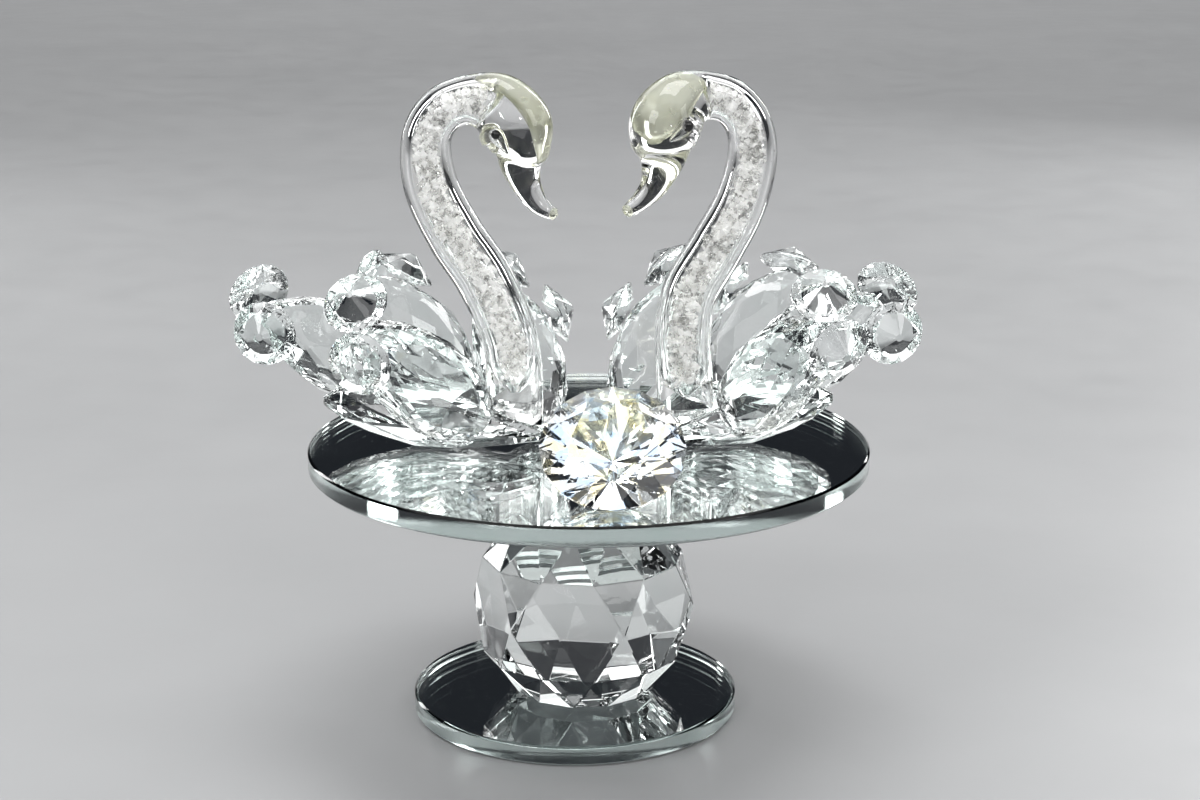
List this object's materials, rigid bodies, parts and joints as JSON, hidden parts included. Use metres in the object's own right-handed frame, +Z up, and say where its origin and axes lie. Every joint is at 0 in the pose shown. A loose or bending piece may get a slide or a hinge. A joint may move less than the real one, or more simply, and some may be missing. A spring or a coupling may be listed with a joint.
{
  "type": "crystal swan figurine",
  "caption": "Crystal figurine of swans facing each other behind a brilliant-cut stone, on a round mirror plate over a faceted ball and a round base.",
  "frame": {"origin": "middle of the base's underside, on the surface that the figurine stands on", "axes": "+X to the viewer's right, from the left swan to the right swan; +Y away from the viewer; +Z up"},
  "size_m": [0.1491, 0.123, 0.1437],
  "materials": {
    "clear_crystal": "cut and polished, clear",
    "lampworked_glass": "flame polished, clear, filled with clear chips",
    "mirror_glass": "clear glass silvered underneath, ground edge"
  },
  "bodies": {
    "root": {"base": "mirror_glass", "ball": "clear_crystal", "plate": "mirror_glass", "diamond": "clear_crystal", "left_body": "clear_crystal", "left_neck": "lampworked_glass", "left_near_wing": "clear_crystal", "left_near_wing_stone_1": "clear_crystal", "left_near_wing_stone_2": "clear_crystal", "left_tail": "clear_crystal", "left_tail_stone_1": "clear_crystal", "left_tail_stone_2": "clear_crystal", "left_back": "clear_crystal", "left_back_stone_1": "clear_crystal", "left_back_stone_2": "clear_crystal", "left_far_wing": "clear_crystal", "left_far_wing_stone_1": "clear_crystal", "left_far_wing_stone_2": "clear_crystal", "right_body": "clear_crystal", "right_neck": "lampworked_glass", "right_near_wing": "clear_crystal", "right_near_wing_stone_1": "clear_crystal", "right_near_wing_stone_2": "clear_crystal", "right_tail": "clear_crystal", "right_tail_stone_1": "clear_crystal", "right_tail_stone_2": "clear_crystal", "right_back": "clear_crystal", "right_back_stone_1": "clear_crystal", "right_back_stone_2": "clear_crystal", "right_far_wing": "clear_crystal", "right_far_wing_stone_1": "clear_crystal", "right_far_wing_stone_2": "clear_crystal"}
  },
  "joints": []
}
